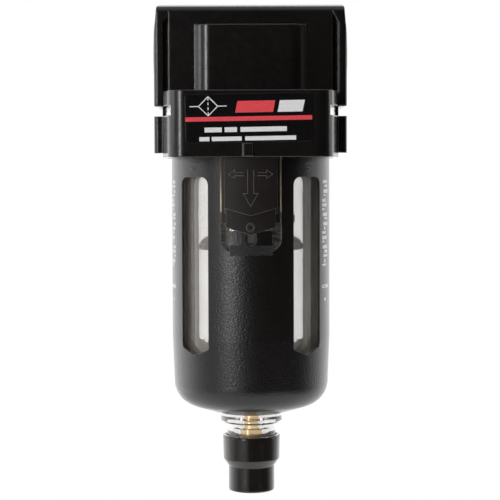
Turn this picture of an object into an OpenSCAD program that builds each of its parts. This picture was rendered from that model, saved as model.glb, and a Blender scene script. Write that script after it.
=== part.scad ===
// Compressed air filter with G 1/2 ports, a bayonet bowl, a spring lock and a turn drain.
// +Z is up and air flows along +X. The origin is the centre of the inlet port's mouth.

/* [Head] */
// Width of the head casting, without the port bosses
head_w = 70; // [69:0.5:71]
// Depth of the port block, front to back
head_d = 44; // [42:1:46]
// Height of the head's top above the port axis
head_top = 18; // [16:0.5:20]
// Height of each machined port boss above the casting's side
boss_h = 0.5; // [0.2:0.1:1]
// Radius of each port's bore
port_r = 9.32; // [9:0.01:9.6]
// Length of each port's bore
port_l = 15; // [13:0.5:16]
// Distance from the bowl's axis to the front and back faces of the skirt
skirt_y = 35; // [34.5:0.5:37]

/* [Bowl guard] */
// Outer radius of the guard
guard_r = 29.7; // [29.6:0.1:29.8]
// Thickness of the guard's sheet
guard_t = 1.2; // [1:0.1:1.4]
// Width of each side window
window_w = 13.9; // [10:0.1:16]
// Height of the side windows' top edges
window_top = -44.4; // [-48:0.1:-42]
// Height of the points at the side windows' lower ends
window_tip = -109.7; // [-114:0.1:-100]

/* [Lock] */
// Width of the lock button
lock_w = 19; // [17:0.5:19.5]
// Travel of the lock button
lock_travel = 4.5; // [3:0.5:5]

/* [Element] */
// Outer radius of the filter element
element_r = 13.8; // [12.5:0.1:14.2]
// Length of the filter element
element_l = 32.2; // [28:0.1:34]
// Radius of the baffle's rim
baffle_r = 19.8; // [17:0.1:21]

/* [Drain] */
// Radius of the clear spigot under the bowl
spigot_r = 9.3; // [9:0.1:9.4]
// Radius of the drain knob's collar
knob_r = 11; // [10.7:0.05:12]
// Height of the knob's lower end
knob_bottom = -163.2; // [-165:0.1:-162.5]
// Radius of the brass drain valve's stem
stem_r = 2.7; // [2.5:0.05:2.8]

/* [Hidden] */
$fn = 96;
e = 0.01;

half_w = head_w / 2;
mouth_x = half_w + boss_h;

// Heights of the head, from the port axis.
block_bottom = -18.8;
wing_top = -22.4;
wing_bottom = -35.7;
skirt_bottom = -37.3;
plate_top = -13.6;
ceiling = -15.5;

// Plan of the head.
skirt_front_x = 28.35;
skirt_side_x = 31.8;
groove_x = [29.6, 31.9];
neck_bore_r = 25.8;
skirt_bore_r = 32;
skirt_bore_top = -27.5;
boss_r = 14.5;
inlet_end_x = 14;
hub_bore_r = 7.5;
hub_r = 11;
hub_bottom = -17.5;
spider_z = [-15, -7];

// Raised panel and label.
panel = [17, 21];
panel_y = 25;
panel_corner_r = 6;
skirt_corner_r = 6.2;
panel_z = [-14, 10.5];
label_x = -1;
label_w = 45;
label_h = 17.2;
label_z = -23.5;
label_t = 0.3;
label_tilt = 0.9;
index_rib_w = 3.4;
index_rib_x = -1;

// Bayonet: four lugs at the diagonals, each turned edge on the guard above one in the skirt.
lug_sweep = 40;
lug_angles = [45, 135, 225, 315];
guard_top = -27.9;
guard_lug_r = 31.5;
guard_lug_h = 2;
head_lug_r = 30.1;
head_lug_z = [-33.2, -30.2];

// Lower end of the guard.
taper_z = -104;
corner_r = 28.75;
corner_z = -128.2;
guard_hole_r = 12.4;
guard_end_z = -133.2;
corner_round = 9.5;

// Lock window and the tongue under the lock.
lock_gap_w = 22.1;
lock_gap_z = -71.2;
tongue_w = 15.4;
tongue_knee = -68.9;
tongue_foot = -72.6;
tongue_r = [29.5, 30.7];

// Lock button.
lock_web_r = [30.1, 31.6];
lock_plate_r = [31.2, 32.7];
lock_lip_r = [31, 31.8];
lock_rail_r = [30.1, 30.7];
lock_rail_w = 21;
lock_hook_r = [27.35, 28.2];
lock_hook_w = 24.8;
lock_top = -34.3;
lock_hook_z = [-37, -34.4];
lock_plate_top = -37.7;
lock_shelf_z = [-57.4, -55.4];
spring_wire_r = 0.18;
spring_closed_h = 1.8;
tongue_top = lock_shelf_z[0] - lock_travel - spring_closed_h;

// Element stack, from the deflector down.
gasket_h = 1.2;
element_bore_r = 9.5;
deflector_z = [-24, -17.5];
element_top = deflector_z[0] - gasket_h;
element_bottom = element_top - element_l;
retainer_top = element_bottom - gasket_h;
retainer_h = 2.8;
baffle_top = retainer_top - retainer_h;
baffle_bottom = baffle_top - 10;
stud_r = 2.5;

// Bowl.
bowl_neck_r = 25.5;
bowl_top = -16.2;
bowl_r = 26.6;
bowl_bore_r = 22.8;
bowl_neck_bore_r = 22.4;
ring_z = -20.6;
ring_r = 1.1;
ring_groove_r = 23.5;
flange_r = 11.75;
flange_z = [-137.1, -133.7];
spigot_bottom = -146;
seat_z = -130.9;
seat_bore_r = 1.8;

// Drain, from the valve's seat down.
valve_top = -131.9;
guide_r = stem_r + 0.4;
stem_seal_z = [-143.6, -142.4];
bush_r = 4.15;
bush_bore_r = bush_r + 0.05;
bush_top = -139.6;
stem_bottom = -157.2;
clip_z = [-156.5, -155.8];
knob_top = -142;
knob_cone_z = [-153.8, -151];
knob_neck_r = 8.8;
knob_floor = -155.6;
hose_l = 5;
hose_r = 5.2;

// A polygon's points with each corner rounded by its own radius.
function unit(v) = v / norm(v);
function corner(p, q, s, r) =
    let (a = unit(p - q), b = unit(s - q), half = acos(a * b) / 2,
        c = q + unit(a + b) * r / sin(half),
        from = q + a * r / tan(half) - c, to = q + b * r / tan(half) - c,
        a0 = atan2(from.y, from.x), turn = atan2(to.y, to.x) - a0,
        sweep = turn > 180 ? turn - 360 : turn < -180 ? turn + 360 : turn,
        steps = max(2, ceil(abs(sweep) * max(1, r / 3) / 11)))
    r == 0 ? [q] : [for (i = [0:steps]) c + r * [cos(a0 + sweep * i / steps), sin(a0 + sweep * i / steps)]];
function rounded(points, radii) =
    let (n = len(points))
    [for (i = [0:n - 1]) each corner(points[(i + n - 1) % n], points[i], points[(i + 1) % n],
        is_list(radii) ? radii[i] : radii)];
function box_points(x, y) = [[x[0], y[0]], [x[1], y[0]], [x[1], y[1]], [x[0], y[1]]];

// Moves the model, which is drawn round the bowl's axis, so that the inlet's mouth is the origin.
module place() { translate([mouth_x, 0, 0]) children(); }

// Extrudes a plan up between two heights.
module rise(z) { translate([0, 0, z[0]]) linear_extrude(z[1] - z[0]) children(); }

// Extrudes an outline drawn in X and Z from the front, between two Y values.
module along_y(y) { translate([0, y[1], 0]) rotate([90, 0, 0]) linear_extrude(y[1] - y[0]) children(); }

// Extrudes an outline drawn in Y and Z, between two X values.
module along_x(x) { translate([x[0], 0, 0]) rotate([90, 0, 90]) linear_extrude(x[1] - x[0]) children(); }

module tube(r, bore, z) {
    rotate_extrude() translate([bore, z[0]]) square([r - bore, z[1] - z[0]]);
}

module both_sides() { children(); mirror([1, 0, 0]) children(); }
module front_and_back() { children(); mirror([0, 1, 0]) children(); }

// ---- Head ----

module port_block() {
    intersection() {
        rise([block_bottom, head_top])
            polygon(rounded(box_points([-half_w, half_w], [-head_d / 2, head_d / 2]), 1.5));
        along_y([-head_d, head_d])
            polygon(rounded([[-half_w, block_bottom], [half_w, block_bottom], [half_w, 6],
                [half_w - 1.1, head_top], [1.1 - half_w, head_top], [-half_w, 6]],
                [0.6, 0.6, 0, 1.5, 1.5, 0]));
        along_x([-half_w - 1, half_w + 1])
            polygon(rounded(box_points([-head_d / 2, head_d / 2], [block_bottom, head_top]),
                [0.6, 0.6, 3, 3]));
    }
}

// Upright groove behind each port flange, for a pipe bracket's clamp. Its upper end slopes.
module clamp_grooves() {
    both_sides() front_and_back() along_y([-head_d / 2 - 1, -head_d / 2 + 3])
        polygon([[groove_x[0], block_bottom - 1], [groove_x[1], block_bottom - 1],
            [groove_x[1], 11.2], [groove_x[0], 15.4]]);
}

// Front panel with sloping sides.
module raised_panel() {
    rise(panel_z) polygon(rounded([[-panel[1], -head_d / 2 + 1], [-panel[0], -panel_y],
        [panel[0], -panel_y], [panel[1], -head_d / 2 + 1]],
        [0, panel_corner_r, panel_corner_r, 0]));
}

module skirt() {
    rise([skirt_bottom, plate_top])
        polygon(rounded([[-skirt_side_x, -head_d / 2], [-skirt_front_x, -skirt_y],
            [skirt_front_x, -skirt_y], [skirt_side_x, -head_d / 2],
            [skirt_side_x, head_d / 2], [skirt_front_x, skirt_y],
            [-skirt_front_x, skirt_y], [-skirt_side_x, head_d / 2]],
            [for (i = [0:7]) i % 4 == 1 || i % 4 == 2 ? skirt_corner_r : 0]));
    rise([wing_bottom, wing_top])
        polygon(rounded(box_points([-half_w, half_w], [-head_d / 2, head_d / 2]), 1.5));
}

// Space between each port flange and the skirt, which lets a bracket hook in.
module side_gaps() {
    both_sides() translate([skirt_front_x, -skirt_y - 1, wing_top])
        cube([half_w, 2 * skirt_y + 2, block_bottom - wing_top]);
}

module webs() {
    both_sides() translate([31.6, -4, wing_top - e]) cube([1.3, 8, block_bottom - wing_top + 2 * e]);
}

module air_ways() {
    both_sides() translate([mouth_x - port_l, 0, 0]) rotate([0, 90, 0]) cylinder(r = port_r, h = port_l + 1);
    // Inlet chamber, with two ports down to the space round the deflector.
    translate([-mouth_x + port_l - 1, 0, 0]) rotate([0, 90, 0])
        cylinder(r = port_r - 1, h = mouth_x - port_l + 1 - inlet_end_x);
    for (y = [-4.6, 4.6]) translate([-18, y, ceiling - 1]) cylinder(r = 3.6, h = -ceiling + 1);
    // Outlet: up through the hub, then across to the outlet port.
    difference() {
        translate([0, 0, hub_bottom - 1]) cylinder(r = hub_bore_r, h = -hub_bottom + 1);
        rise(spider_z) spider();
    }
    sphere(r = hub_bore_r);
    rotate([0, 90, 0]) cylinder(r = hub_bore_r, h = mouth_x - port_l + 1);
}

// Three ribs that carry the stud's boss across the hub's bore.
module spider() {
    circle(r = 4.5);
    for (a = [60, 180, 300]) rotate(a) translate([0, -1.1]) square([hub_bore_r + 1, 2.2]);
}

module bowl_socket() {
    rise([skirt_bottom - 1, ceiling]) difference() {
        circle(r = neck_bore_r);
        circle(r = hub_r);
    }
    rise([skirt_bottom - 1, hub_bottom]) circle(r = hub_r + 1);
    rise([skirt_bottom - 1, skirt_bore_top]) circle(r = skirt_bore_r);
    // Lead-in chamfer at the skirt's mouth.
    rotate_extrude() polygon([[0, skirt_bottom - 1], [skirt_bore_r + 0.6 + 1, skirt_bottom - 1],
        [skirt_bore_r, skirt_bottom + 0.6], [0, skirt_bottom + 0.6]]);
}

module head_lugs() {
    for (a = lug_angles) rotate(a - lug_sweep / 2)
        rotate_extrude(angle = lug_sweep) translate([head_lug_r, head_lug_z[0]])
            square([skirt_bore_r + 0.8 - head_lug_r, head_lug_z[1] - head_lug_z[0]]);
}

// Cast arrow on the top that shows the way the air flows.
module flow_arrow() {
    rise([head_top - 1, head_top + 0.5])
        polygon([[-16, -2], [6, -2], [6, -6], [16, 0], [6, 6], [6, 2], [-16, 2]]);
}

module head() {
    color("#1a1918") place() {
        difference() {
            union() {
                port_block();
                raised_panel();
                skirt();
                both_sides() translate([half_w - 1, 0, 0]) rotate([0, 90, 0])
                    cylinder(r = boss_r, h = boss_h + 1);
                // Index rib under the label, in line with the lock.
                translate([index_rib_x - index_rib_w / 2, -skirt_y - 0.5, skirt_bottom + 0.3])
                    cube([index_rib_w, 1, 4.6]);
            }
            clamp_grooves();
            side_gaps();
            bowl_socket();
            air_ways();
            rise([spider_z[0] - 1, spider_z[1] - 1]) circle(r = stud_r);
        }
        webs();
        head_lugs();
        flow_arrow();
    }
}

module nameplate() {
    color("#151414") place() along_y([-skirt_y - label_t, -skirt_y]) rotate(label_tilt)
        translate([label_x, label_z]) polygon(rounded(box_points([-label_w / 2, label_w / 2],
            [-label_h / 2, label_h / 2]), 1.2));
}

// ---- Element stack ----

// Swirl ring: slanted vanes between a hub and an outer band.
module deflector() {
    vanes = 12;
    color("#e8e6e0") place() {
        tube(15, hub_bore_r, deflector_z);
        tube(22, 20.8, deflector_z);
        for (i = [0:vanes - 1]) rotate(i * 360 / vanes)
            translate([14.5, 0, (deflector_z[0] + deflector_z[1]) / 2])
                rotate([35, 0, 0]) translate([0, -0.6, -2.6]) cube([6.7, 1.2, 5.2]);
    }
}

module element_gasket_upper() {
    color("#2a2a2a") place() tube(element_r, element_bore_r, [element_top, element_top + gasket_h]);
}

module filter_element() {
    color("#e3c39c") place() tube(element_r, element_bore_r, [element_bottom, element_top]);
}

module element_gasket_lower() {
    color("#2a2a2a") place() tube(element_r, element_bore_r, [retainer_top, element_bottom]);
}

// Plate that presses the element up, with three small grip tabs.
module element_retainer() {
    color("#242322") place() difference() {
        union() {
            rise([baffle_top, retainer_top]) circle(r = 15.2);
            for (a = [0, 120, 240]) rotate(a) translate([14, -2.5, baffle_top]) cube([2.5, 5, retainer_h]);
            translate([0, 0, retainer_top - e]) cylinder(r = element_bore_r - 0.4, h = 4);
        }
        translate([0, 0, baffle_top - 1]) cylinder(r = stud_r + 0.2, h = 12);
    }
}

// Umbrella that keeps settled water from being drawn back up.
module baffle() {
    rim_top = baffle_bottom + 2;
    color("#242322") place() difference() {
        rotate_extrude() polygon(concat([[0, baffle_bottom], [baffle_r - 0.5, baffle_bottom],
            [baffle_r, baffle_bottom + 0.5], [baffle_r, rim_top]],
            [for (a = [0:6:84]) [6 + (baffle_r - 6.6) * cos(a), rim_top + 4.6 * sin(a)]],
            [[6, rim_top + 4.6], [6, baffle_top], [0, baffle_top]]));
        rotate_extrude() polygon([[0, baffle_bottom - 1], [baffle_r - 1.6, baffle_bottom - 1],
            [baffle_r - 1.6, baffle_bottom + 0.8], [7, baffle_bottom + 4], [0, baffle_bottom + 4]]);
        translate([0, 0, baffle_bottom]) cylinder(r = stud_r + 0.2, h = 12);
    }
}

module element_stud() {
    color("#b9b7b2") place() translate([0, 0, baffle_bottom - 1])
        cylinder(r = stud_r, h = spider_z[1] - 1.5 - baffle_bottom + 1);
}

module stud_nut() {
    color("#c9a75a") place() difference() {
        translate([0, 0, baffle_bottom]) cylinder(r = 4.6, h = 4, $fn = 6);
        translate([0, 0, baffle_bottom - 1]) cylinder(r = stud_r, h = 6);
    }
}

// ---- Bowl guard ----

module guard_shell() {
    rotate_extrude() difference() {
        guard_outline(0);
        guard_outline(guard_t);
    }
}

// Half section of the guard's outside, drawn smaller by inset for its inside.
module guard_outline(inset) {
    over = inset > 0 ? 1 : 0;
    polygon(rounded([[0, guard_top + over], [guard_r - inset, guard_top + over], [guard_r - inset, taper_z],
        [corner_r - inset, corner_z + inset * 1.1], [guard_hole_r, guard_end_z + inset * 1.15],
        [guard_hole_r, guard_end_z + inset * 1.15 - over * 4], [0, guard_end_z + inset * 1.15 - over * 4]],
        [0, 0, 0, corner_round - inset, 0, 0, 0]));
}

// Outline of a side window, with round upper corners and a pointed lower end.
module window_outline() {
    half = window_w / 2;
    polygon(rounded([[-half, window_top], [-half, window_tip + 2.7], [0, window_tip],
        [half, window_tip + 2.7], [half, window_top]], [3, 1.5, 1.5, 1.5, 3]));
}

module lock_gap_outline() {
    half = lock_gap_w / 2;
    polygon(rounded([[-half, guard_top + 1], [-half, lock_gap_z], [half, lock_gap_z],
        [half, guard_top + 1]], [0, 4.5, 4.5, 0]));
}

// Tongue pressed out of the guard under the lock, with a hole rounded at its lower end.
module lock_tongue() {
    difference() {
        intersection() {
            rotate_extrude() polygon([[tongue_r[0], tongue_top], [tongue_r[1], tongue_top],
                [tongue_r[1], tongue_knee], [guard_r, tongue_foot], [guard_r - 1, tongue_foot],
                [guard_r - 1, tongue_foot + 1.4], [tongue_r[0], tongue_knee + 0.4]]);
            along_y([-guard_r - 4, -20]) polygon(box_points([-tongue_w / 2, tongue_w / 2], [-80, -60]));
        }
        along_y([-guard_r - 4, -guard_r + 4])
            polygon(rounded(box_points([-1.95, 1.95], [tongue_knee, tongue_knee + 4.1]), [1.7, 1.7, 0, 0]));
    }
}

module bowl_guard() {
    color("#171615") place() {
        difference() {
            guard_shell();
            for (a = lug_angles) rotate(a) along_y([-guard_r - 2, -guard_r / 2]) window_outline();
            along_y([-guard_r - 2, -guard_r / 2]) lock_gap_outline();
        }
        for (a = lug_angles) rotate(a - lug_sweep / 2) rotate_extrude(angle = lug_sweep)
            translate([guard_r - 0.2, guard_top - guard_lug_h])
                square([guard_lug_r - guard_r + 0.2, guard_lug_h]);
        lock_tongue();
    }
}

// ---- Bowl ----

module bowl() {
    wall_bottom = corner_z + 2.3;
    color("#e9eef0", 0.35) place() rotate_extrude() difference() {
        polygon(rounded([[0, bowl_top], [bowl_neck_r, bowl_top], [bowl_neck_r, -28], [bowl_r, -30],
            [bowl_r, taper_z], [corner_r - 2.6, wall_bottom], [flange_r, -130.4],
            [flange_r, flange_z[0] + 0.8], [flange_r - 0.9, flange_z[0]], [spigot_r, flange_z[0]],
            [spigot_r, spigot_bottom], [0, spigot_bottom]],
            [0, 0.6, 0.5, 0.5, 0, corner_round - 2, 0, 0.4, 0.4, 0, 0.4, 0]));
        // Inside, down to the sump and the drain hole.
        polygon(rounded([[0, bowl_top + 1], [bowl_neck_bore_r, bowl_top + 1], [bowl_neck_bore_r, -28.5],
            [bowl_bore_r, -31], [bowl_bore_r, taper_z], [corner_r - 6.6, wall_bottom + 3.6],
            [seat_bore_r, -129.3], [seat_bore_r, seat_z], [guide_r, seat_z], [guide_r, bush_top],
            [bush_bore_r, bush_top], [bush_bore_r, spigot_bottom - 1], [0, spigot_bottom - 1]],
            [0, 0, 0.5, 0.5, 0, 4, 0, 0, 0, 0, 0, 0, 0]));
        // Groove for the O-ring.
        translate([ring_groove_r, ring_z - ring_r - 0.2]) square([3, 2 * ring_r + 0.4]);
        // Groove moulded round the flange.
        translate([flange_r - 0.25, flange_z[0] + 1.3]) square([1, 0.5]);
    }
}

module bowl_o_ring() {
    color("#202020") place() rotate_extrude() translate([ring_groove_r + ring_r, ring_z]) circle(r = ring_r);
}

module drain_bush() {
    color("#caa860") place() tube(bush_r, guide_r, [spigot_bottom - 0.6, bush_top]);
}

// ---- Lock ----

// Outline seen from the front: straight sides and a shallow point at the lower end.
module lock_outline(w, top, side, tip) {
    along_y([-40, -20]) polygon(rounded([[-w / 2, top], [-w / 2, side], [0, tip], [w / 2, side],
        [w / 2, top]], [0.3, 0.5, 1.5, 0.5, 0.3]));
}

// Piece of a tube that follows the guard, w wide across the front.
module band(r, z, w) {
    intersection() {
        tube(r[1], r[0], z);
        translate([-w / 2, -40, z[0]]) cube([w, 25, z[1] - z[0]]);
    }
}

// Sliding plate in the guard's front window. Its upper end runs inside the skirt, where two hooks
// reach behind the guard, and its lower end passes outside the tongue.
module lock_button() {
    color("#2e2926") place() {
        band(lock_web_r, [lock_shelf_z[0], lock_top], lock_w);
        difference() {
            band(lock_rail_r, [-61, -36.6], lock_rail_w);
            translate([-tongue_w / 2 - 0.4, -40, -62]) cube([tongue_w + 0.8, 25, 62 + lock_shelf_z[0]]);
        }
        intersection() {
            tube(lock_plate_r[1], lock_plate_r[0], [-60, lock_plate_top]);
            lock_outline(lock_w, lock_plate_top, -55.5, -58.2);
        }
        intersection() {
            tube(lock_lip_r[1], lock_lip_r[0], [-66, -55]);
            lock_outline(lock_w - 1.2, -55, -62.4, -65.1);
        }
        // Shelf that the spring presses on, then the hooks and their neck.
        band([29, lock_plate_r[0]], lock_shelf_z, 8);
        band(lock_hook_r, lock_hook_z, lock_hook_w);
        band([lock_hook_r[1] - 0.1, lock_web_r[0] + 0.1], lock_hook_z, lock_w);
        // Raised ring on the lip.
        translate([0, -lock_lip_r[1] + 0.3, -62.4]) rotate([90, 0, 0]) difference() {
            cylinder(r = 1.6, h = 0.6);
            translate([0, 0, -1]) cylinder(r = 1, h = 3);
        }
    }
}

// Coil between the lock's shelf and the tongue.
module lock_spring() {
    coil_r = 1;
    turns = 4;
    steps = 14;
    low = tongue_top + spring_wire_r;
    high = lock_shelf_z[0] - spring_wire_r;
    color("#c8c8c8") place() translate([0, -29.7, 0])
        polyhedron(points = coil_points(coil_r, spring_wire_r, low, high, turns, steps),
            faces = coil_faces(turns * steps, 8));
}
function coil_points(R, r, z0, z1, turns, steps) =
    [for (i = [0:turns * steps]) for (k = [0:7])
        let (a = i * 360 / steps, t = i / (turns * steps), b = k * 45)
        [(R + r * cos(b)) * cos(a), (R + r * cos(b)) * sin(a), z0 + (z1 - z0) * t + r * sin(b)]];
function coil_faces(rings, n) = concat(
    [[for (k = [0:n - 1]) k]],
    [for (i = [0:rings - 1]) for (k = [0:n - 1])
        [i * n + k, (i + 1) * n + k, (i + 1) * n + (k + 1) % n, i * n + (k + 1) % n]],
    [[for (k = [n - 1:-1:0]) rings * n + k]]);

// ---- Drain ----

module drain_valve() {
    cross_hole_z = -134.2;
    color("#caa860") place() difference() {
        union() {
            translate([0, 0, stem_bottom]) cylinder(r = stem_r, h = valve_top - stem_bottom);
            // Collar that guides the stem in the spigot.
            tube(guide_r - 0.05, stem_r - 1, [-136.2, -135.3]);
        }
        // Bore for the water, let in through a cross hole above the collar.
        rise([stem_bottom - 1, cross_hole_z + 0.2]) circle(r = 1.2);
        translate([-stem_r - 1, 0, cross_hole_z]) rotate([0, 90, 0]) cylinder(r = 0.8, h = 2 * stem_r + 2);
        // Grooves for the stem seal and the clip.
        tube(stem_r + 1, stem_r - 0.8, [stem_seal_z[0] - 0.1, stem_seal_z[1] + 0.1]);
        tube(stem_r + 1, stem_r - 0.5, [clip_z[0] - 0.1, clip_z[1] + 0.1]);
    }
}

module drain_seal() {
    color("#202020") place() translate([0, 0, valve_top])
        cylinder(r = stem_r - 0.1, h = seat_z - 0.05 - valve_top);
}

module drain_stem_seal() {
    color("#202020") place() tube(guide_r - 0.07, stem_r - 0.8, stem_seal_z);
}

module drain_clip() {
    color("#c8c8c8") place() difference() {
        tube(4.2, stem_r - 0.5, clip_z);
        translate([-1.6, 0, clip_z[0] - 1]) cube([3.2, 6, 3]);
    }
}

module drain_knob() {
    color("#1b1a19") place() rotate_extrude() difference() {
        polygon(rounded([[0, knob_top], [knob_r, knob_top], [knob_r - 0.25, knob_cone_z[1]],
            [knob_neck_r, knob_cone_z[0]], [knob_neck_r, knob_bottom], [0, knob_bottom]],
            [0, 0.7, 0.5, 0.5, 0.7, 0]));
        // Room for the spigot, the stem's hole, the hose's hole and the clip's recess.
        translate([0, -149.7]) square([spigot_r + 0.35, 10]);
        translate([0, knob_floor - 1]) square([stem_r, 8]);
        translate([0, knob_bottom - 1]) square([hose_r, hose_l + 1]);
        translate([0, knob_bottom]) square([hose_r - 0.6, knob_floor - knob_bottom]);
    }
}

head();
nameplate();
deflector();
element_gasket_upper();
filter_element();
element_gasket_lower();
element_retainer();
baffle();
element_stud();
stud_nut();
bowl_guard();
bowl();
bowl_o_ring();
drain_bush();
lock_button();
lock_spring();
drain_valve();
drain_seal();
drain_stem_seal();
drain_clip();
drain_knob();
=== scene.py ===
import math

import bmesh
import bpy
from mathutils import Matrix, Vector


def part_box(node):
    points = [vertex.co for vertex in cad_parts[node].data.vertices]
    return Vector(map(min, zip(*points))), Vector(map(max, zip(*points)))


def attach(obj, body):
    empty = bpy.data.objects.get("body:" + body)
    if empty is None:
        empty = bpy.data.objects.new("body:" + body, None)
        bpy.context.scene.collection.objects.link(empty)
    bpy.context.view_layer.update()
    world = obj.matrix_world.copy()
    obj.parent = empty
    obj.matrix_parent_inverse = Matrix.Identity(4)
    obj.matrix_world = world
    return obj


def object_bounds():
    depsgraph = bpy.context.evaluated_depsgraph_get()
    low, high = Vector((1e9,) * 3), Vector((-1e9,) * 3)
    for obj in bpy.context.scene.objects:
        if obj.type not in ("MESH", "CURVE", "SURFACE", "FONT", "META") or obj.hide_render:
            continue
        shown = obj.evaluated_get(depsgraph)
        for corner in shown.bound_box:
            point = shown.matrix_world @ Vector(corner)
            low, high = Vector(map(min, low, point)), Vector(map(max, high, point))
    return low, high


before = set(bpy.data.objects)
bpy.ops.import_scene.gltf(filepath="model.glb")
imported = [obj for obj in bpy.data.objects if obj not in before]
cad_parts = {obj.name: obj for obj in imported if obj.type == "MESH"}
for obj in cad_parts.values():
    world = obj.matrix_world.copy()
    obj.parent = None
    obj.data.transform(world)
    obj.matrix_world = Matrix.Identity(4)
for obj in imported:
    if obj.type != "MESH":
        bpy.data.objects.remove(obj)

MM = 0.001
cad_low, cad_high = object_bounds()

# Landmarks, all from the CAD boxes. The bowl's axis is upright through the guard's centre.
guard_low, guard_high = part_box("bowl_guard")
bowl_low, bowl_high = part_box("bowl")
label_low, label_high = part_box("nameplate")
lock_low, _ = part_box("lock_button")
head_low, head_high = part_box("head")
AXIS = Vector(((bowl_low.x + bowl_high.x) / 2, 0, 0))
PORT_FACES = (head_low.x, head_high.x)
GUARD_R = (guard_high.x - guard_low.x) / 2
LOCK_R = -lock_low.y


# ---- Node helpers ----

def new_material(name):
    """A material, with its nodes, its links and its main shader."""
    mat = bpy.data.materials.new(name)
    mat.use_nodes = True
    nodes = mat.node_tree.nodes
    return mat, nodes, mat.node_tree.links, nodes["Principled BSDF"]


def coords(nodes, links, scale=(1, 1, 1)):
    """Object coordinates in metres, stretched by scale."""
    where = nodes.new("ShaderNodeTexCoord")
    mapping = nodes.new("ShaderNodeMapping")
    mapping.inputs["Scale"].default_value = scale
    links.new(where.outputs["Object"], mapping.inputs["Vector"])
    return mapping.outputs["Vector"]


def noise(nodes, links, vector, size, detail=2.0, rough=0.5):
    """Noise whose lumps are about size metres across."""
    tex = nodes.new("ShaderNodeTexNoise")
    tex.inputs["Scale"].default_value = 1 / size
    tex.inputs["Detail"].default_value = detail
    tex.inputs["Roughness"].default_value = rough
    links.new(vector, tex.inputs["Vector"])
    return tex.outputs["Fac"]


def spread(nodes, links, value, low, high, from_low=0.3, from_high=0.7):
    """Maps a value to the range low to high. Noise mostly stays between 0.3 and 0.7."""
    m = nodes.new("ShaderNodeMapRange")
    m.inputs["From Min"].default_value = from_low
    m.inputs["From Max"].default_value = from_high
    m.inputs["To Min"].default_value = low
    m.inputs["To Max"].default_value = high
    links.new(value, m.inputs["Value"])
    return m.outputs["Result"]


def blend_colour(nodes, links, value, dark, light):
    """A colour between dark and light, chosen by value."""
    mix = nodes.new("ShaderNodeMix")
    mix.data_type = "RGBA"
    mix.inputs["A"].default_value = (*dark, 1)
    mix.inputs["B"].default_value = (*light, 1)
    links.new(value, mix.inputs["Factor"])
    return mix.outputs["Result"]


def bump(nodes, links, shader, height, depth, after=None):
    """Raises the shader's surface by up to depth metres, on top of the normals in after."""
    node = nodes.new("ShaderNodeBump")
    node.inputs["Strength"].default_value = 1.0
    node.inputs["Distance"].default_value = depth
    links.new(height, node.inputs["Height"])
    if after is not None:
        links.new(after, node.inputs["Normal"])
    links.new(node.outputs["Normal"], shader.inputs["Normal"])
    return node.outputs["Normal"]


# ---- Materials ----

# Width of the painted edge highlight: a paler colour along sharp edges that stands in for light glinting
# off them.
EDGE_HIGHLIGHT_WIDTH = 0.25 * MM    # how far from an edge its paler colour reaches
WAVE_RADIANS = 20           # Blender's wave texture turns this far for each unit of scaled length
INK_FADE = 0.86             # brightness of the print's thinner patches


def rounded_edges(nodes, radius):
    """Normals that turn over sharp edges within radius, as cast and moulded edges do."""
    edge = nodes.new("ShaderNodeBevel")
    edge.samples = 6
    edge.inputs["Radius"].default_value = radius
    return edge.outputs["Normal"]


def edge_mask(nodes, links, radius):
    """1 along sharp edges, fading to 0 at radius from them."""
    where = nodes.new("ShaderNodeNewGeometry")
    dot = nodes.new("ShaderNodeVectorMath")
    dot.operation = "DOT_PRODUCT"
    links.new(rounded_edges(nodes, radius), dot.inputs[0])
    links.new(where.outputs["Normal"], dot.inputs[1])
    at_edge, off_edge = 0.82, 0.98
    return spread(nodes, links, dot.outputs["Value"], 1, 0, at_edge, off_edge)


def coated(name, dark, light, rough, grain, depth, lumps=None, edge=0.3 * MM, shine=0.5,
           painted_edge_highlight=None):
    """Paint or moulded plastic: colour drifts a little, grain gives the surface its bite.

    grain is the fine grain's size and depth its height. lumps is the size and height of a coarser
    texture, and edge the radius of sharp edges. The last argument is a paler colour painted along
    sharp edges: a painted highlight standing in for the light that glints off them.
    """
    mat, nodes, links, shader = new_material(name)
    at = coords(nodes, links)
    broad = noise(nodes, links, at, 9 * MM, 3)
    fine = noise(nodes, links, at, grain, 2, 0.55)
    colour = blend_colour(nodes, links, spread(nodes, links, broad, 0, 1), dark, light)
    # Painted highlight: along sharp edges the colour turns to the paler one, in place of light caught by
    # the edge.
    if painted_edge_highlight:
        mix = nodes.new("ShaderNodeMix")
        mix.data_type = "RGBA"
        mix.inputs["B"].default_value = (*painted_edge_highlight, 1)
        links.new(edge_mask(nodes, links, EDGE_HIGHLIGHT_WIDTH), mix.inputs["Factor"])
        links.new(colour, mix.inputs["A"])
        colour = mix.outputs["Result"]
    links.new(colour, shader.inputs["Base Color"])
    links.new(spread(nodes, links, fine, *rough), shader.inputs["Roughness"])
    shader.inputs["Specular IOR Level"].default_value = shine
    first = bump(nodes, links, shader, fine, depth, after=rounded_edges(nodes, edge))
    if lumps:
        bump(nodes, links, shader, noise(nodes, links, at, lumps[0], 1), lumps[1], after=first)
    return mat


def turned_metal(name, dark, light, rough, ring=0.35 * MM, depth=0.01 * MM):
    """Turned metal with tool marks round an upright axis."""
    mat, nodes, links, shader = new_material(name)
    at = coords(nodes, links, (0.05, 0.05, 1))
    marks = noise(nodes, links, at, ring, 3, 0.6)
    stain = noise(nodes, links, coords(nodes, links), 3 * MM, 3)
    links.new(blend_colour(nodes, links, spread(nodes, links, stain, 0, 1), dark, light),
              shader.inputs["Base Color"])
    links.new(spread(nodes, links, marks, *rough), shader.inputs["Roughness"])
    shader.inputs["Metallic"].default_value = 1.0
    bump(nodes, links, shader, marks, depth)
    return mat


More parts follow.
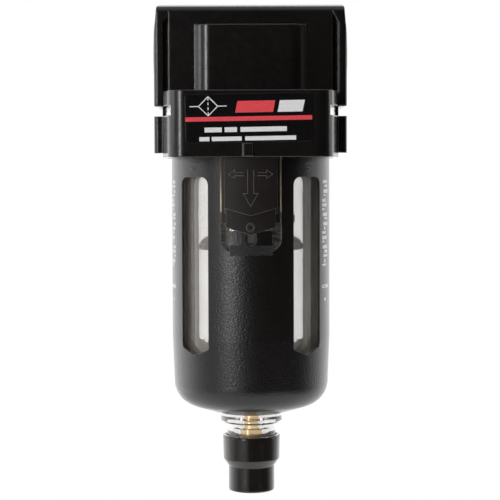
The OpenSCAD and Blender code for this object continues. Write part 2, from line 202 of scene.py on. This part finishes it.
def threaded_metal(name, pitch):
    """Bare cast alloy cut with a pipe thread along X."""
    mat, nodes, links, shader = new_material(name)
    at = coords(nodes, links)
    wave = nodes.new("ShaderNodeTexWave")
    wave.wave_type = "BANDS"
    wave.bands_direction = "X"
    wave.wave_profile = "TRI"
    wave.inputs["Scale"].default_value = 1 / pitch / WAVE_RADIANS * 2 * math.pi
    wave.inputs["Distortion"].default_value = 0
    links.new(at, wave.inputs["Vector"])
    grime = noise(nodes, links, at, 1.5 * MM, 4, 0.6)
    links.new(blend_colour(nodes, links, spread(nodes, links, grime, 0, 1), (0.42, 0.42, 0.41),
                           (0.66, 0.66, 0.65)), shader.inputs["Base Color"])
    links.new(spread(nodes, links, grime, 0.25, 0.42), shader.inputs["Roughness"])
    shader.inputs["Metallic"].default_value = 1.0
    bump(nodes, links, shader, wave.outputs["Fac"], 0.5 * MM)
    return mat


def faced_metal(name):
    """Bare alloy port face with fine turning rings round the port's axis, which is X."""
    mat, nodes, links, shader = new_material(name)
    at = coords(nodes, links)
    split = nodes.new("ShaderNodeSeparateXYZ")
    links.new(at, split.inputs["Vector"])
    flat = nodes.new("ShaderNodeCombineXYZ")
    links.new(split.outputs["Y"], flat.inputs["X"])
    links.new(split.outputs["Z"], flat.inputs["Y"])
    length = nodes.new("ShaderNodeVectorMath")
    length.operation = "LENGTH"
    links.new(flat.outputs["Vector"], length.inputs[0])
    radius = nodes.new("ShaderNodeCombineXYZ")
    links.new(length.outputs["Value"], radius.inputs["X"])
    rings = noise(nodes, links, radius.outputs["Vector"], 0.12 * MM, 2)
    links.new(blend_colour(nodes, links, spread(nodes, links, rings, 0, 1), (0.55, 0.55, 0.54),
                           (0.74, 0.74, 0.73)), shader.inputs["Base Color"])
    links.new(spread(nodes, links, rings, 0.2, 0.36), shader.inputs["Roughness"])
    shader.inputs["Metallic"].default_value = 1.0
    bump(nodes, links, shader, rings, 0.01 * MM)
    return mat


def clear_plastic(name):
    """Clear polycarbonate, a little hazy, with faint moulding ripples. Lamps shine through it."""
    mat, nodes, links, shader = new_material(name)
    at = coords(nodes, links, (1, 1, 0.4))
    ripple = noise(nodes, links, at, 6 * MM, 2)
    shader.inputs["Base Color"].default_value = (0.98, 0.98, 0.97, 1)
    shader.inputs["Transmission Weight"].default_value = 1.0
    shader.inputs["IOR"].default_value = 1.585
    links.new(spread(nodes, links, ripple, 0.015, 0.05), shader.inputs["Roughness"])
    bump(nodes, links, shader, ripple, 0.012 * MM)
    through = nodes.new("ShaderNodeBsdfTransparent")
    through.inputs["Color"].default_value = (0.9, 0.92, 0.91, 1)
    path = nodes.new("ShaderNodeLightPath")
    haze = nodes.new("ShaderNodeBsdfDiffuse")
    haze.inputs["Color"].default_value = (0.62, 0.55, 0.49, 1)
    hazy = nodes.new("ShaderNodeMixShader")
    links.new(spread(nodes, links, ripple, 0.07, 0.13), hazy.inputs["Fac"])
    links.new(shader.outputs["BSDF"], hazy.inputs[1])
    links.new(haze.outputs["BSDF"], hazy.inputs[2])
    mix = nodes.new("ShaderNodeMixShader")
    links.new(path.outputs["Is Shadow Ray"], mix.inputs["Fac"])
    links.new(hazy.outputs["Shader"], mix.inputs[1])
    links.new(through.outputs["BSDF"], mix.inputs[2])
    links.new(mix.outputs["Shader"], nodes["Material Output"].inputs["Surface"])
    return mat


def sintered(name):
    """Open sintered grain of the filter element."""
    mat, nodes, links, shader = new_material(name)
    at = coords(nodes, links)
    cells = nodes.new("ShaderNodeTexVoronoi")
    cells.inputs["Scale"].default_value = 1 / (0.45 * MM)
    links.new(at, cells.inputs["Vector"])
    tone = noise(nodes, links, at, 2.5 * MM, 4)
    links.new(blend_colour(nodes, links, spread(nodes, links, tone, 0, 1), (0.72, 0.50, 0.32),
                           (0.90, 0.72, 0.54)), shader.inputs["Base Color"])
    links.new(spread(nodes, links, tone, 0.7, 0.9), shader.inputs["Roughness"])
    bump(nodes, links, shader, cells.outputs["Distance"], 0.25 * MM)
    return mat


def printed(name, colour):
    """Printed ink: nearly flat, with a slight screen-print unevenness."""
    mat, nodes, links, shader = new_material(name)
    at = coords(nodes, links)
    ink = noise(nodes, links, at, 0.6 * MM, 2)
    faded = tuple(INK_FADE * c for c in colour)
    links.new(blend_colour(nodes, links, spread(nodes, links, ink, 0, 1), faded, colour),
              shader.inputs["Base Color"])
    links.new(spread(nodes, links, ink, 0.25, 0.4), shader.inputs["Roughness"])
    bump(nodes, links, shader, ink, 0.004 * MM)
    return mat


# The head, guard and lock paints carry a painted edge highlight as their last colour: a paler colour along
# sharp edges in place of the light that glints off them.
HEAD_PAINT = coated("head_paint", (0.0058, 0.0048, 0.0044), (0.0080, 0.0068, 0.0062), (0.19, 0.25),
                    2.2 * MM, 0.006 * MM, lumps=(5 * MM, 0.04 * MM), edge=0.75 * MM,
                    painted_edge_highlight=(0.20, 0.19, 0.18))
GUARD_PAINT = coated("guard_paint", (0.0040, 0.0030, 0.0027), (0.0060, 0.0048, 0.0044), (0.28, 0.38),
                     0.5 * MM, 0.012 * MM, lumps=(0.7 * MM, 0.105 * MM), painted_edge_highlight=(0.22, 0.21, 0.20))
LOCK_PLASTIC = coated("lock_plastic", (0.0120, 0.0094, 0.0082), (0.0165, 0.0132, 0.0118), (0.46, 0.58),
                      0.3 * MM, 0.008 * MM, shine=0.2, painted_edge_highlight=(0.27, 0.245, 0.23))
KNOB_PLASTIC = coated("knob_plastic", (0.0085, 0.0068, 0.0060), (0.0120, 0.0098, 0.0088), (0.13, 0.2),
                      1.6 * MM, 0.01 * MM, lumps=(4 * MM, 0.06 * MM))
INNER_PLASTIC = coated("inner_plastic", (0.010, 0.009, 0.009), (0.016, 0.015, 0.014), (0.3, 0.45),
                       0.3 * MM, 0.01 * MM)
WHITE_PLASTIC = coated("white_plastic", (0.72, 0.70, 0.66), (0.80, 0.79, 0.76), (0.35, 0.5),
                       0.4 * MM, 0.01 * MM)
RUBBER = coated("seal_rubber", (0.010, 0.010, 0.010), (0.018, 0.018, 0.018), (0.55, 0.75),
                0.25 * MM, 0.01 * MM)
LABEL_FILM = coated("label", (0.0055, 0.0052, 0.0055), (0.0075, 0.0070, 0.0075), (0.09, 0.16),
                    3.5 * MM, 0.012 * MM)
BRASS = turned_metal("brass", (0.74, 0.50, 0.20), (0.92, 0.70, 0.36), (0.12, 0.28))
STEEL = turned_metal("steel", (0.50, 0.49, 0.47), (0.70, 0.69, 0.67), (0.2, 0.36))
CLEAR = clear_plastic("clear_plastic")
ELEMENT = sintered("filter_medium")
THREAD_PITCH = 1.814 * MM
THREAD = threaded_metal("port_thread", THREAD_PITCH)
PORT_FACE = faced_metal("port_face")
WHITE_INK = printed("white_ink", (0.95, 0.95, 0.94))
PALE_INK = printed("pale_ink", (0.54, 0.53, 0.52))
GREY_INK = printed("grey_ink", (0.24, 0.235, 0.23))
RED_INK = printed("red_ink", (0.95, 0.085, 0.105))

FINISHES = {
    "head": HEAD_PAINT, "nameplate": LABEL_FILM, "deflector": WHITE_PLASTIC,
    "element_gasket_upper": RUBBER, "filter_element": ELEMENT, "element_gasket_lower": RUBBER,
    "element_retainer": INNER_PLASTIC, "baffle": INNER_PLASTIC, "element_stud": STEEL,
    "stud_nut": BRASS, "bowl_guard": GUARD_PAINT, "bowl": CLEAR, "bowl_o_ring": RUBBER,
    "drain_bush": BRASS, "lock_button": LOCK_PLASTIC, "lock_spring": STEEL, "drain_valve": BRASS,
    "drain_seal": RUBBER, "drain_stem_seal": RUBBER, "drain_clip": STEEL, "drain_knob": KNOB_PLASTIC,
}
for node_name, finish in FINISHES.items():
    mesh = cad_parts[node_name].data
    mesh.materials.clear()
    mesh.materials.append(finish)


# ---- Surfaces of the CAD nodes ----

def machine_ports():
    """Gives the port bores their thread and the port bosses their bare, faced metal."""
    thread_reach, thread_depth, face_skin = 10 * MM, 15.2 * MM, 0.05 * MM
    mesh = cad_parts["head"].data
    thread_slot = len(mesh.materials)
    mesh.materials.append(THREAD)
    face_slot = len(mesh.materials)
    mesh.materials.append(PORT_FACE)
    for poly in mesh.polygons:
        centre = poly.center
        radius = math.hypot(centre.y, centre.z)
        depth = min(abs(centre.x - face) for face in PORT_FACES)
        if depth < face_skin:
            poly.material_index = face_slot
        elif radius < thread_reach and depth < thread_depth:
            poly.material_index = thread_slot


machine_ports()


# ---- Prints and marks, each a thin slab that lies on its node ----

def solid_from_outline(name, outline, depth, place):
    """A closed slab: outline is a list of (u, v), and place(u, v, w) gives each point in the frame."""
    n = len(outline)
    points = [place(u, v, w) for w in (0, depth) for u, v in outline]
    faces = [tuple(range(n))[::-1], tuple(range(n, 2 * n))]
    faces += [(i, (i + 1) % n, (i + 1) % n + n, i + n) for i in range(n)]
    mesh = bpy.data.meshes.new(name)
    mesh.from_pydata(points, [], faces)
    return mesh


def joined(name, meshes, material, body):
    """Joins slabs into one piece that rides on a body."""
    work = bmesh.new()
    for mesh in meshes:
        work.from_mesh(mesh)
        bpy.data.meshes.remove(mesh)
    bmesh.ops.recalc_face_normals(work, faces=work.faces)
    whole = bpy.data.meshes.new(name)
    work.to_mesh(whole)
    work.free()
    whole.materials.append(material)
    obj = bpy.data.objects.new(name, whole)
    bpy.context.scene.collection.objects.link(obj)
    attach(obj, body)
    return obj


# ---- Printed label, in mm from its centre ----

LABEL_TILT = math.radians(0.9)
INK = 0.03
LINE_W = 0.32
STRIPE = (-22.4, 22.4, -1.0, 0.55)
# The symbol's centre and half size, and two leaning bars in the place of a name.
SYMBOL = (-14.3, 4.3, 3.4)
LEANING_RED = (-5.2, 8.2, 1.9, 6.0, 0.22)
LEANING_WHITE = (9.8, 18.6, 1.9, 6.0, 0.22)
# Two rows of plain bars where a maker prints ratings: lower and upper edge, then each bar's ends.
RATING_ROWS = [(-4.9, -3.2, [(-15.7, -9.6), (-8.6, -4.2), (-3.0, 13.4)]),
               (-8.0, -6.5, [(-17.6, -14.0), (-13.2, -2.6), (-1.4, 16.6)])]


def on_label(u, v, w):
    """A point on the label: u to the right and v up from its centre, w out of its face, in mm."""
    centre = (label_low + label_high) / 2
    x = u * math.cos(LABEL_TILT) - v * math.sin(LABEL_TILT)
    z = u * math.sin(LABEL_TILT) + v * math.cos(LABEL_TILT)
    return Vector((centre.x + x * MM, label_low.y - w * MM, centre.z + z * MM))


def bar(u0, u1, v0, v1, slant=0.0):
    """A printed bar, leaning by slant for each unit of height."""
    outline = [(u0 + slant * v0, v0), (u1 + slant * v0, v0), (u1 + slant * v1, v1), (u0 + slant * v1, v1)]
    return solid_from_outline("bar", outline, INK, on_label)


def line(a, b):
    """A printed line from a to b."""
    along = Vector((b[0] - a[0], b[1] - a[1])).normalized()
    side = Vector((-along.y, along.x)) * LINE_W / 2
    outline = [(a[0] - side.x, a[1] - side.y), (b[0] - side.x, b[1] - side.y),
               (b[0] + side.x, b[1] + side.y), (a[0] + side.x, a[1] + side.y)]
    return solid_from_outline("line", outline, INK, on_label)


def filter_symbol(u, v, half):
    """The drafting symbol for a filter: a diamond between two lines, with a dashed line across it."""
    lead, dash, dash_pitch, first_dash = 3.2, 1.0, 1.7, 0.35
    corners = [(u - half, v), (u, v + half), (u + half, v), (u, v - half)]
    lines = [line(corners[i], corners[(i + 1) % 4]) for i in range(4)]
    lines += [line((u - half - lead, v), (u - half, v)), line((u + half, v), (u + half + lead, v))]
    for k in range(4):
        start = v - half + k * dash_pitch + first_dash
        lines.append(line((u, start), (u, start + dash)))
    return lines


def print_label():
    """A red stripe, the symbol, and plain bars in the place of words."""
    joined("label_stripe", [bar(*STRIPE)], RED_INK, "head_unit")
    joined("label_red_bar", [bar(*LEANING_RED)], RED_INK, "head_unit")
    white = filter_symbol(*SYMBOL)
    white.append(bar(*LEANING_WHITE))
    for v0, v1, row in RATING_ROWS:
        white += [bar(u0, u1, v0, v1) for u0, u1 in row]
    joined("label_white_print", white, WHITE_INK, "head_unit")


print_label()


# ---- Marks on the lock ----

def on_lock(u, z, w):
    """A point on the lock's curved plate: u mm round to the right, z mm above the axis of the ports."""
    r = LOCK_R + w * MM
    return Vector((AXIS.x + r * math.sin(u * MM / LOCK_R), -r * math.cos(u * MM / LOCK_R), z * MM))


def stroke(points, width, place, height, step=0.6):
    """Raised strokes along a polyline, cut short enough to follow a curved surface."""
    made = []
    for (u0, v0), (u1, v1) in zip(points, points[1:]):
        a, b = Vector((u0, v0)), Vector((u1, v1))
        along = (b - a).normalized()
        side = Vector((-along.y, along.x)) * width / 2
        a, b = a - along * width / 2, b + along * width / 2
        count = max(1, math.ceil((b - a).length / step))
        for i in range(count):
            p, q = a.lerp(b, i / count), a.lerp(b, (i + 1) / count)
            outline = [tuple(p - side), tuple(q - side), tuple(q + side), tuple(p + side)]
            made.append(solid_from_outline("stroke", outline, height, place))
    return made


def arrow_outline(tail, tip, half, head_half, head_len):
    """An arrow's outline from tail to tip: half the shaft's width, half the head's and its length."""
    tail, tip = Vector(tail), Vector(tip)
    along = (tip - tail).normalized()
    side = Vector((-along.y, along.x))
    neck = tip - along * head_len
    points = [tail + side * half, neck + side * half, neck + side * head_half, tip,
              neck - side * head_half, neck - side * half, tail - side * half]
    return [tuple(p) for p in points]


ACROSS = -43.4              # height of the two arrows that point sideways
DOWN_ARROW = (1.1, 2.6, 4.6)
SIDE_ARROW = (0.55, 1.5, 2.2)
ARROWS = [((0, -42.0), (0, -54.9), DOWN_ARROW),
          ((-2.6, ACROSS), (-7.9, ACROSS), SIDE_ARROW),
          ((2.6, ACROSS), (7.9, ACROSS), SIDE_ARROW)]
ARROW_LINE_W = 0.22
ARROW_HEIGHT = 0.10


def mark_lock():
    """Three outlined arrows: push down, turn left or turn right."""
    strokes = []
    for tail, tip, sizes in ARROWS:
        outline = arrow_outline(tail, tip, *sizes)
        strokes += stroke(outline, ARROW_LINE_W, on_lock, ARROW_HEIGHT)
    joined("lock_arrows", strokes, LOCK_PLASTIC, "lock_unit")


mark_lock()


# ---- Marks on the guard ----

def on_guard(angle, z, w):
    """A point on the guard: angle in degrees round from the front, z in mm."""
    a = math.radians(angle)
    r = GUARD_R + w * MM
    return Vector((AXIS.x + r * math.sin(a), -r * math.cos(a), z * MM))


def guard_bar(angle0, angle1, z0, z1, height):
    """A raised or printed bar on the guard, in four steps so that it follows the curve."""
    steps = 4
    turn = (angle1 - angle0) / steps
    outline = [(angle0 + turn * k, z0) for k in range(steps + 1)]
    outline += [(angle0 + turn * k, z1) for k in range(steps, -1, -1)]
    return solid_from_outline("guard_bar", outline, height, on_guard)


# Each printed column: name, side (-1 is left), ink, and its edge's angle from the front in degrees.
COLUMNS = [("guard_print_left", -1, GREY_INK, 70), ("guard_print_right", 1, PALE_INK, 62.5)]
# Starts and ends of the printed blocks in degrees from their column's edge, and their heights in mm.
BLOCK_SPANS = [(0, 7), (1, 10), (3, 6), (0, 4), (2, 11), (0, 9), (4, 10)]
BLOCK_HEIGHTS = [1.15, 0.9, 1.3, 0.7, 1.25]
BLOCK_COUNT = 19
BLOCK_PITCH = 1.72
BLOCK_TOP = -45.6
# A level bar and a small block below the column: start and end from its edge, lower and upper edge.
LEVEL_BLOCKS = [(0, 12, -85.6, -84.3), (4, 7, -90.4, -89.2)]
PRINT_HEIGHT = 0.02
# Raised marks above the side windows: start and end from the front, lower and upper edge.
INDEX_MARKS = [(41, 49, -39.6, -39.0), (43, 47, -42.2, -41.0)]
MARK_HEIGHT = 0.12


def mark_guard():
    """A printed column and two raised marks on each side of the guard."""
    raised = []
    for name, side, ink, edge in COLUMNS:
        blocks = []
        for k in range(BLOCK_COUNT):
            top = BLOCK_TOP - BLOCK_PITCH * k
            low = top - BLOCK_HEIGHTS[k % len(BLOCK_HEIGHTS)]
            start, end = BLOCK_SPANS[(k * 5 + (side > 0)) % len(BLOCK_SPANS)]
            blocks.append(guard_bar(side * (edge + start), side * (edge + end), low, top, PRINT_HEIGHT))
        for start, end, low, top in LEVEL_BLOCKS:
            blocks.append(guard_bar(side * (edge + start), side * (edge + end), low, top, PRINT_HEIGHT))
        joined(name, blocks, ink, "bowl_unit")
        for start, end, low, top in INDEX_MARKS:
            raised.append(guard_bar(side * start, side * end, low, top, MARK_HEIGHT))
    joined("guard_index_marks", raised, GUARD_PAINT, "bowl_unit")


mark_guard()


# ---- Stage, light and camera ----

FLOOR_HALF = 0.25
FLOOR_DROP = 0.09


def make_floor():
    """A small pale floor, well below the filter."""
    mesh = bpy.data.meshes.new("floor")
    corners = [(-FLOOR_HALF, -FLOOR_HALF, 0), (FLOOR_HALF, -FLOOR_HALF, 0),
               (FLOOR_HALF, FLOOR_HALF, 0), (-FLOOR_HALF, FLOOR_HALF, 0)]
    mesh.from_pydata(corners, [], [(0, 1, 2, 3)])
    mat, nodes, links, shader = new_material("floor")
    at = coords(nodes, links)
    pale = blend_colour(nodes, links, noise(nodes, links, at, 0.4), (0.90, 0.90, 0.90), (0.92, 0.92, 0.92))
    links.new(pale, shader.inputs["Base Color"])
    shader.inputs["Roughness"].default_value = 0.7
    shader.inputs["Specular IOR Level"].default_value = 0.1
    # A lit white sweep: the floor glows a little, so that no line shows where it meets the wall.
    links.new(pale, shader.inputs["Emission Color"])
    path = nodes.new("ShaderNodeLightPath")
    links.new(path.outputs["Is Camera Ray"], shader.inputs["Emission Strength"])
    mesh.materials.append(mat)
    floor = bpy.data.objects.new("floor", mesh)
    floor.location = (AXIS.x, 0, cad_low.z - FLOOR_DROP)
    bpy.context.scene.collection.objects.link(floor)


# Brightness of the studio's wall at each angle round from the front, in degrees, left negative.
WORLD_STOPS = [(-180, 2.0), (-150, 2.2), (-130, 2.4), (-108, 2.2), (-88, 1.2), (-64, 0.45), (-44, 0.7),
               (-20, 0.6), (-12, 0.1), (-4, 0.01), (55, 0.01), (84, 0.08), (97, 0.45), (108, 1.15),
               (141, 2.2), (152, 1.9), (180, 2.0)]
WORLD_TOP = 0.9
TOP_FADE = (0.45, 0.85)     # height on the unit sphere at which the wall turns into the ceiling
WORLD_MAX = max(level for _, level in WORLD_STOPS)


def grey(level):
    """A grey for the world, as a share of its brightest part."""
    return (level / WORLD_MAX, level / WORLD_MAX, level / WORLD_MAX, 1)


def make_world():
    """White studio: bright behind, dimmer at the left front, dark from there round to the right."""
    world = bpy.data.worlds.new("studio")
    bpy.context.scene.world = world
    world.use_nodes = True
    nodes, links = world.node_tree.nodes, world.node_tree.links
    where = nodes.new("ShaderNodeTexCoord")
    split = nodes.new("ShaderNodeSeparateXYZ")
    links.new(where.outputs["Generated"], split.inputs["Vector"])
    # Angle round from the front: 0.5 is the camera's side, 0 and 1 are behind the object.
    flip = nodes.new("ShaderNodeMath")
    flip.operation = "MULTIPLY"
    flip.inputs[1].default_value = -1
    links.new(split.outputs["Y"], flip.inputs[0])
    around = nodes.new("ShaderNodeMath")
    around.operation = "ARCTAN2"
    links.new(split.outputs["X"], around.inputs[0])
    links.new(flip.outputs["Value"], around.inputs[1])
    turn = nodes.new("ShaderNodeMapRange")
    turn.inputs["From Min"].default_value = -math.pi
    turn.inputs["From Max"].default_value = math.pi
    links.new(around.outputs["Value"], turn.inputs["Value"])
    ramp = nodes.new("ShaderNodeValToRGB")
    ramp.color_ramp.interpolation = "EASE"
    elements = ramp.color_ramp.elements
    while len(elements) < len(WORLD_STOPS):
        elements.new(0.5)
    for element, (angle, level) in zip(elements, WORLD_STOPS):
        element.position = angle / 360 + 0.5
        element.color = grey(level)
    links.new(turn.outputs["Result"], ramp.inputs["Fac"])
    # Overhead softbox.
    high = nodes.new("ShaderNodeMapRange")
    high.interpolation_type = "SMOOTHSTEP"
    high.inputs["From Min"].default_value, high.inputs["From Max"].default_value = TOP_FADE
    links.new(split.outputs["Z"], high.inputs["Value"])
    over = nodes.new("ShaderNodeMix")
    over.data_type = "RGBA"
    over.inputs["B"].default_value = grey(WORLD_TOP)
    links.new(high.outputs["Result"], over.inputs["Factor"])
    links.new(ramp.outputs["Color"], over.inputs["A"])
    # The backdrop is plain white, seen directly or through the clear bowl.
    path = nodes.new("ShaderNodeLightPath")
    direct = nodes.new("ShaderNodeMath")
    direct.operation = "MAXIMUM"
    links.new(path.outputs["Is Camera Ray"], direct.inputs[0])
    links.new(path.outputs["Is Transmission Ray"], direct.inputs[1])
    seen = nodes.new("ShaderNodeMix")
    seen.data_type = "RGBA"
    seen.inputs["B"].default_value = (1, 1, 1, 1)
    links.new(direct.outputs["Value"], seen.inputs["Factor"])
    links.new(over.outputs["Result"], seen.inputs["A"])
    links.new(seen.outputs["Result"], nodes["Background"].inputs["Color"])
    strength = nodes.new("ShaderNodeMapRange")
    strength.inputs["To Min"].default_value = WORLD_MAX
    strength.inputs["To Max"].default_value = 1.0
    links.new(direct.outputs["Value"], strength.inputs["Value"])
    links.new(strength.outputs["Result"], nodes["Background"].inputs["Strength"])


def area_light(name, place, aim, size, radiance):
    """A rectangular softbox of the given brightness, from place towards aim."""
    lamp = bpy.data.lights.new(name, "AREA")
    lamp.shape = "RECTANGLE"
    lamp.size, lamp.size_y = size
    lamp.energy = radiance * math.pi * size[0] * size[1]
    obj = bpy.data.objects.new(name, lamp)
    obj.location = place
    obj.rotation_euler = (Vector(aim) - Vector(place)).to_track_quat("-Z", "Y").to_euler()
    bpy.context.scene.collection.objects.link(obj)


LAMP_AWAY = 1.1


def strip_light(name, angle, size, radiance, rise):
    """A softbox, angle degrees round from the front.

    rise is its height in metres above a point halfway between the port axis and the filter's top.
    """
    a = math.radians(angle)
    middle = Vector((AXIS.x, 0, cad_high.z / 2 + rise))
    away = Vector((LAMP_AWAY * math.sin(a), -LAMP_AWAY * math.cos(a), 0))
    area_light(name, middle + away, middle, size, radiance)


def make_camera():
    """At the level of the windows' upper edges, tilted down a little to centre the filter."""
    focal_px, frame_px, sensor = 1481, 500, 36
    away, height, left_of_axis = 0.560, -0.0444, 0.00025
    eye = Vector((AXIS.x - left_of_axis, -away, height))
    horizon_above_centre = 73
    tilt = math.atan(horizon_above_centre / focal_px)
    roll = math.radians(0.17)
    data = bpy.data.cameras.new("camera")
    data.sensor_width = sensor
    data.lens = sensor * focal_px / frame_px
    data.clip_start, data.clip_end = 0.01, 20
    cam = bpy.data.objects.new("camera", data)
    cam.location = eye
    cam.rotation_euler = (math.pi / 2 - tilt, roll, 0)
    bpy.context.scene.collection.objects.link(cam)
    bpy.context.scene.camera = cam


make_floor()
make_world()
strip_light("left_low", -31, (0.12, 0.28), 9, rise=-0.179)
strip_light("left_high", -31, (0.12, 0.35), 20, rise=0.136)
strip_light("left_far", -77, (0.34, 0.26), 4, rise=0.16)
strip_light("right_high", 96, (0.10, 0.3), 6, rise=0.14)
area_light("top", (AXIS.x, 0.45, 0.85), (AXIS.x, 0, -0.06), (0.9, 0.6), 5)
make_camera()
bpy.context.scene.view_settings.view_transform = "Standard"
